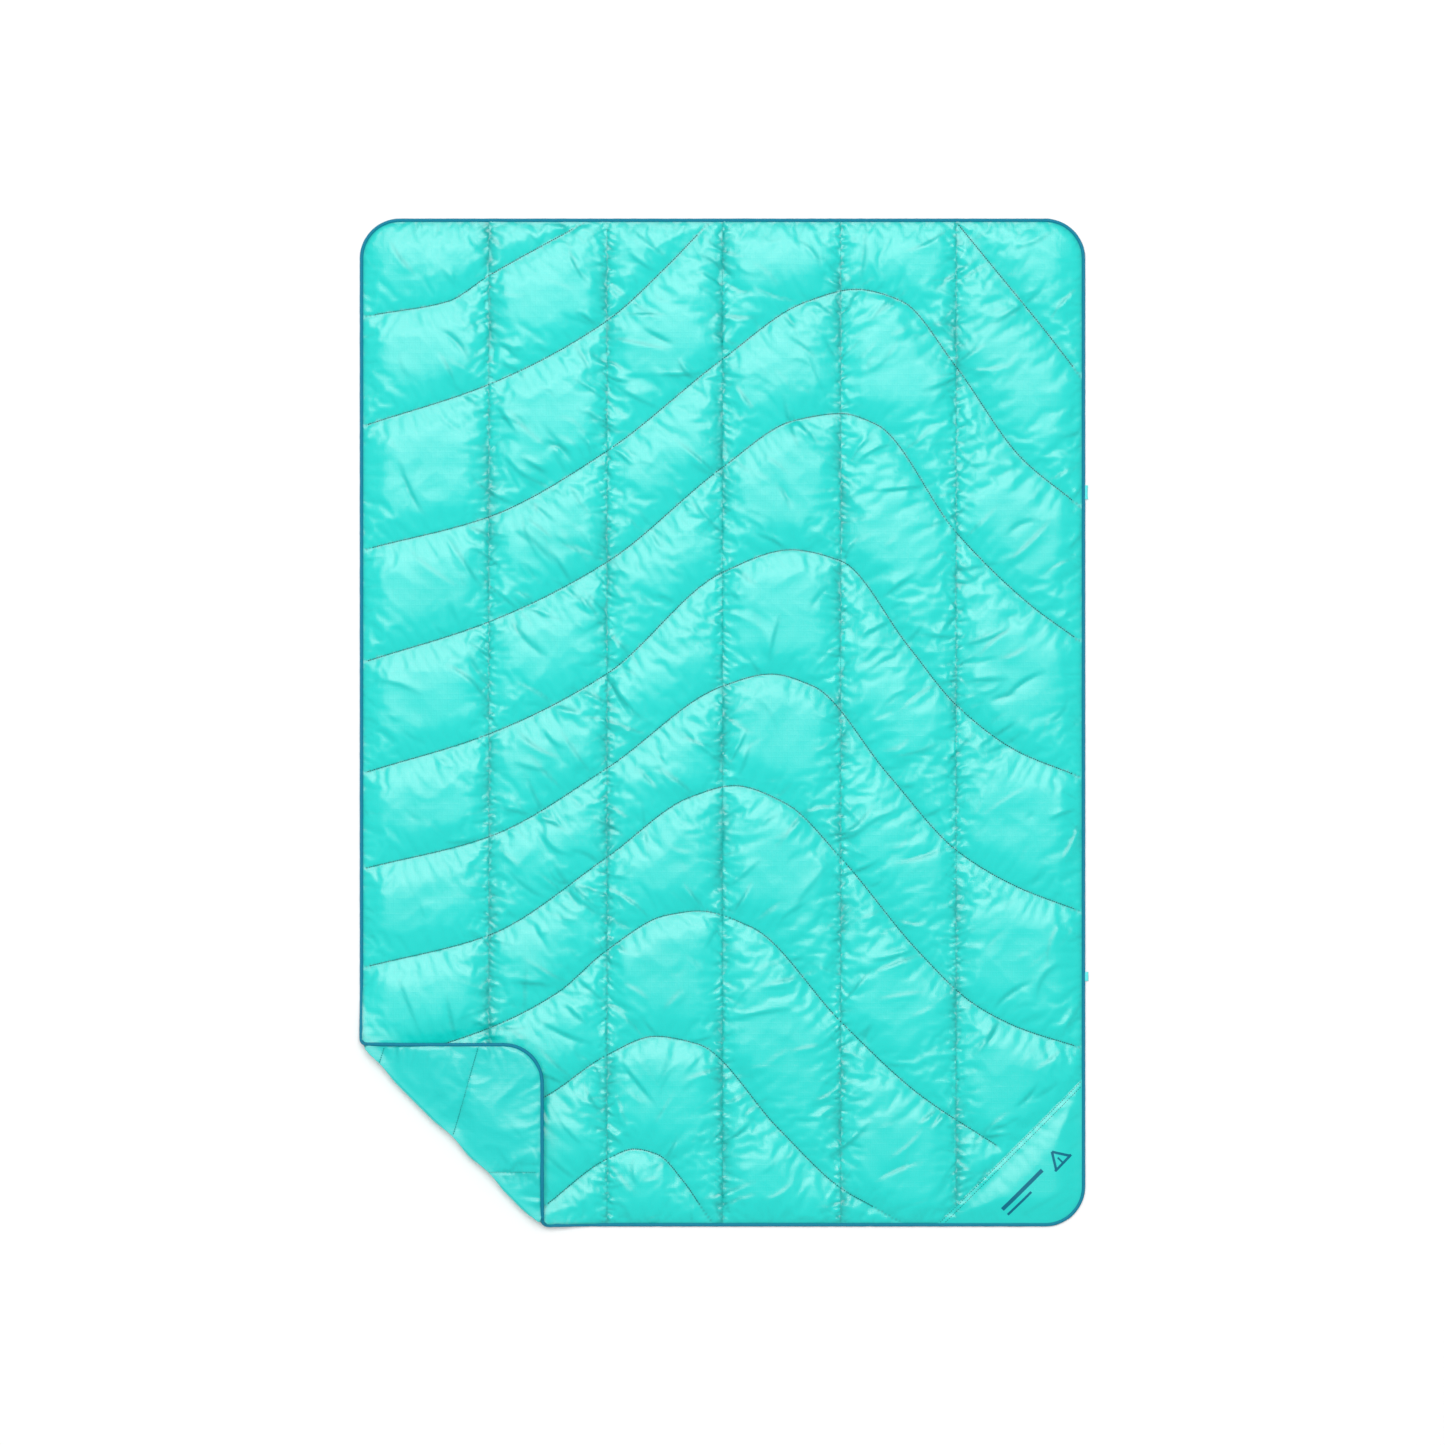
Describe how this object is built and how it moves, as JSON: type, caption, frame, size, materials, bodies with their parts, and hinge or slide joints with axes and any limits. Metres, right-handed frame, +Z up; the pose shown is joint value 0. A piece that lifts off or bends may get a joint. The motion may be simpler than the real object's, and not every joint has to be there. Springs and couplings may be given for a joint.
{
  "type": "camp blanket",
  "caption": "Quilted synthetic-fill camp blanket in turquoise with wave quilting, blue edge binding and one corner turned back",
  "frame": {"origin": "middle of the bounding box in X and Y, on the plane that the blanket lies on", "axes": "+Z up out of the face; +Y along the length, away from the turned-back corner; +X across the width, towards the edge with the two loops"},
  "size_m": [1.326, 1.834, 0.0486],
  "materials": {
    "face_fabric": "satin",
    "back_fabric": "satin",
    "insulation": "matte",
    "binding": "satin",
    "column_thread": "satin",
    "wave_thread": "satin",
    "patch_fabric": "satin",
    "webbing": "matte"
  },
  "bodies": {
    "left_half": {"back_shell_left": "back_fabric", "binding_front_left": "binding", "binding_left": "binding", "face_shell_left": "face_fabric", "insulation_left": "insulation", "seam_column_1": "column_thread", "seam_column_2": "column_thread", "seam_column_3": "column_thread", "seam_wave_a_left": "wave_thread", "seam_wave_b_left": "wave_thread", "seam_wave_c_left": "wave_thread", "seam_wave_d_left": "wave_thread", "seam_wave_e_left": "wave_thread", "seam_wave_f_left": "wave_thread", "seam_wave_g_left": "wave_thread", "seam_wave_h_left": "wave_thread", "seam_wave_i_left": "wave_thread", "seam_wave_j_left": "wave_thread"},
    "right_half": {"back_shell_right": "back_fabric", "binding_right": "binding", "corner_patch": "patch_fabric", "edge_loop_lower": "webbing", "edge_loop_upper": "webbing", "face_shell_right": "face_fabric", "insulation_right": "insulation", "patch_stitch_inner": "wave_thread", "patch_stitch_outer": "wave_thread", "seam_column_4": "column_thread", "seam_column_5": "column_thread", "seam_wave_c_right": "wave_thread", "seam_wave_d_right": "wave_thread", "seam_wave_e_right": "wave_thread", "seam_wave_f_right": "wave_thread", "seam_wave_g_right": "wave_thread", "seam_wave_h_right": "wave_thread", "seam_wave_i_right": "wave_thread", "seam_wave_z_right": "wave_thread"},
    "corner_flap": {"back_shell_corner": "back_fabric", "binding_corner": "binding", "face_shell_corner": "face_fabric", "insulation_corner": "insulation", "seam_column_1_corner": "column_thread", "seam_wave_h_corner": "wave_thread", "seam_wave_i_corner": "wave_thread"}
  },
  "joints": [
    {"name": "lengthwise_fold", "type": "hinge", "parent": "left_half", "child": "right_half", "pos_m": [-0.003, 0, 0.0243], "axis": [0, -1, 0], "range_deg": [0, 174]},
    {"name": "corner_fold", "type": "hinge", "parent": "left_half", "child": "corner_flap", "pos_m": [-0.495, -0.749, 0.0243], "axis": [0.7071, -0.7071, 0], "range_deg": [0, 180]}
  ]
}
